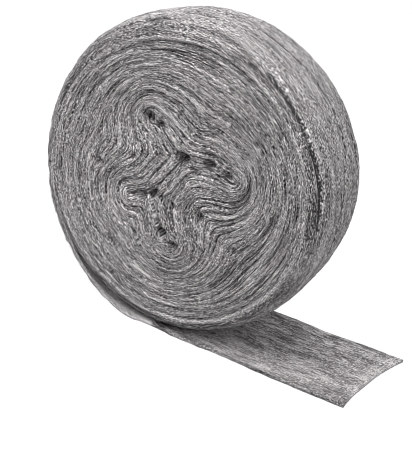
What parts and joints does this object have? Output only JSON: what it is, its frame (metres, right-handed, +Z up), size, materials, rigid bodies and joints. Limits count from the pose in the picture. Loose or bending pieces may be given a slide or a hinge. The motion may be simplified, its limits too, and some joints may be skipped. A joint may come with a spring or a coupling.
{
  "type": "steel wool roll",
  "caption": "Coreless roll of steel wool ribbon standing on its rim, its middle fallen in and its free end laid out flat.",
  "frame": {"origin": "on the ground, under the middle of the roll's axis", "axes": "+X along the laid-out free end, +Y along the roll's axis from the front face to the back, +Z up"},
  "size_m": [0.3271, 0.1, 0.2636],
  "materials": {
    "steel_wool": "dull grey steel fibre, combed along the ribbon"
  },
  "bodies": {
    "root": {"wool_ribbon": "steel_wool"}
  },
  "joints": []
}
